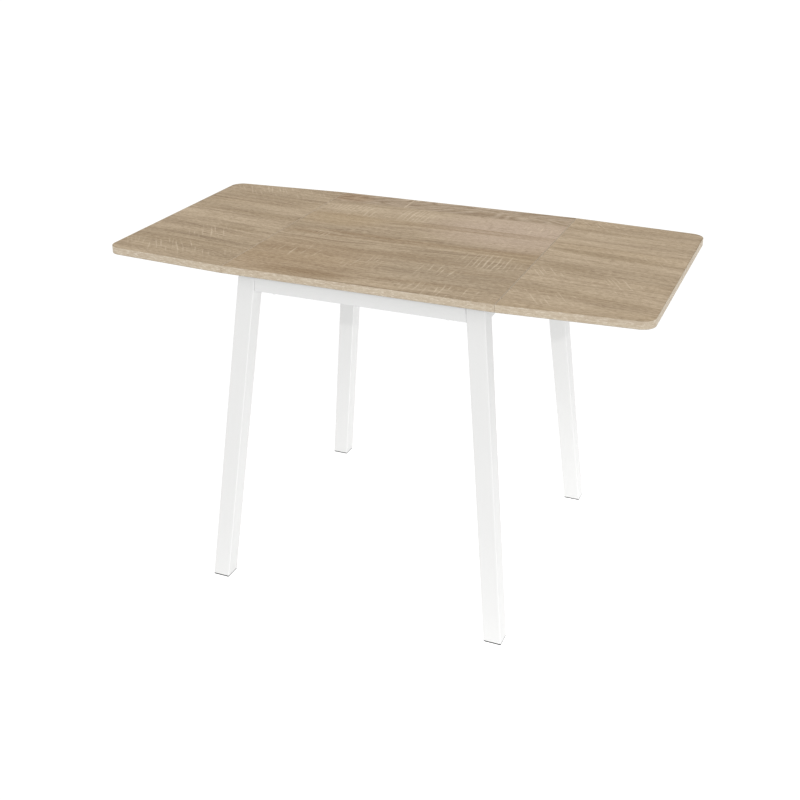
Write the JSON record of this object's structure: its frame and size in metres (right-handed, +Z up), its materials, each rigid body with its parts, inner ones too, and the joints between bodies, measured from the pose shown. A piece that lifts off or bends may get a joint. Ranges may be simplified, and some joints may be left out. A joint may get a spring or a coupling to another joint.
{
  "type": "drop-leaf dining table",
  "caption": "Laminated top with a rectangular centre board and tapered drop leaves on self-locking folding brackets, over a steel frame with splayed square legs.",
  "frame": {"origin": "on the floor under the middle of the top", "axes": "+X along the table towards the right leaf, +Y towards the rear rail, +Z up"},
  "size_m": [1.2, 0.6874, 0.75],
  "materials": {
    "oak_laminate": "matt wood-grain laminate on board",
    "edge_band": "fine grained edge banding",
    "white_steel": "white satin powder coat",
    "zinc_steel": "bright zinc plate",
    "spring_steel": "oiled spring wire",
    "foot_plastic": "moulded dark plastic"
  },
  "bodies": {
    "frame": {"centre_panel": "oak_laminate", "centre_front_edge_band": "edge_band", "centre_rear_edge_band": "edge_band", "centre_left_seam_band": "edge_band", "centre_right_seam_band": "edge_band", "front_left_leg": "white_steel", "front_right_leg": "white_steel", "rear_left_leg": "white_steel", "rear_right_leg": "white_steel", "front_left_foot_plug": "foot_plastic", "front_right_foot_plug": "foot_plastic", "rear_left_foot_plug": "foot_plastic", "rear_right_foot_plug": "foot_plastic", "front_rail": "white_steel", "rear_rail": "white_steel", "left_rail": "white_steel", "right_rail": "white_steel", "front_left_top_screw": "zinc_steel", "front_right_top_screw": "zinc_steel", "rear_left_top_screw": "zinc_steel", "rear_right_top_screw": "zinc_steel", "front_left_corner_brace": "zinc_steel", "front_right_corner_brace": "zinc_steel", "rear_left_corner_brace": "zinc_steel", "rear_right_corner_brace": "zinc_steel", "front_left_leg_bolt": "zinc_steel", "front_right_leg_bolt": "zinc_steel", "rear_left_leg_bolt": "zinc_steel", "rear_right_leg_bolt": "zinc_steel", "front_left_hinge_base": "zinc_steel", "front_right_hinge_base": "zinc_steel", "rear_left_hinge_base": "zinc_steel", "rear_right_hinge_base": "zinc_steel", "front_left_hinge_pin": "zinc_steel", "front_right_hinge_pin": "zinc_steel", "rear_left_hinge_pin": "zinc_steel", "rear_right_hinge_pin": "zinc_steel", "front_left_lever_pin": "zinc_steel", "front_right_lever_pin": "zinc_steel", "rear_left_lever_pin": "zinc_steel", "rear_right_lever_pin": "zinc_steel", "front_left_lever_spring": "spring_steel", "front_right_lever_spring": "spring_steel", "rear_left_lever_spring": "spring_steel", "rear_right_lever_spring": "spring_steel"},
    "left_leaf": {"left_leaf_panel": "oak_laminate", "left_leaf_edge_band": "edge_band", "left_leaf_seam_band": "edge_band", "front_left_hinge_arm": "zinc_steel", "rear_left_hinge_arm": "zinc_steel"},
    "right_leaf": {"right_leaf_panel": "oak_laminate", "right_leaf_edge_band": "edge_band", "right_leaf_seam_band": "edge_band", "front_right_hinge_arm": "zinc_steel", "rear_right_hinge_arm": "zinc_steel"},
    "front_left_lever": {"front_left_lock_lever": "zinc_steel"},
    "front_right_lever": {"front_right_lock_lever": "zinc_steel"},
    "rear_left_lever": {"rear_left_lock_lever": "zinc_steel"},
    "rear_right_lever": {"rear_right_lock_lever": "zinc_steel"}
  },
  "joints": [
    {"name": "left_leaf_fold", "type": "hinge", "parent": "frame", "child": "left_leaf", "pos_m": [-0.3, 0, 0.726], "axis": [0, -1, 0], "range_deg": [0, 90]},
    {"name": "right_leaf_fold", "type": "hinge", "parent": "frame", "child": "right_leaf", "pos_m": [0.3, 0, 0.726], "axis": [0, 1, 0], "range_deg": [0, 90]},
    {"name": "front_left_lever_press", "type": "hinge", "parent": "frame", "child": "front_left_lever", "pos_m": [-0.286, -0.15, 0.701], "axis": [0, -1, 0], "range_deg": [0, 14], "stiffness_Nm_per_rad": 0.1, "springref_deg": -20.05},
    {"name": "front_right_lever_press", "type": "hinge", "parent": "frame", "child": "front_right_lever", "pos_m": [0.286, -0.15, 0.701], "axis": [0, 1, 0], "range_deg": [0, 14], "stiffness_Nm_per_rad": 0.1, "springref_deg": -20.05},
    {"name": "rear_left_lever_press", "type": "hinge", "parent": "frame", "child": "rear_left_lever", "pos_m": [-0.286, 0.15, 0.701], "axis": [0, -1, 0], "range_deg": [0, 14], "stiffness_Nm_per_rad": 0.1, "springref_deg": -20.05},
    {"name": "rear_right_lever_press", "type": "hinge", "parent": "frame", "child": "rear_right_lever", "pos_m": [0.286, 0.15, 0.701], "axis": [0, 1, 0], "range_deg": [0, 14], "stiffness_Nm_per_rad": 0.1, "springref_deg": -20.05}
  ]
}
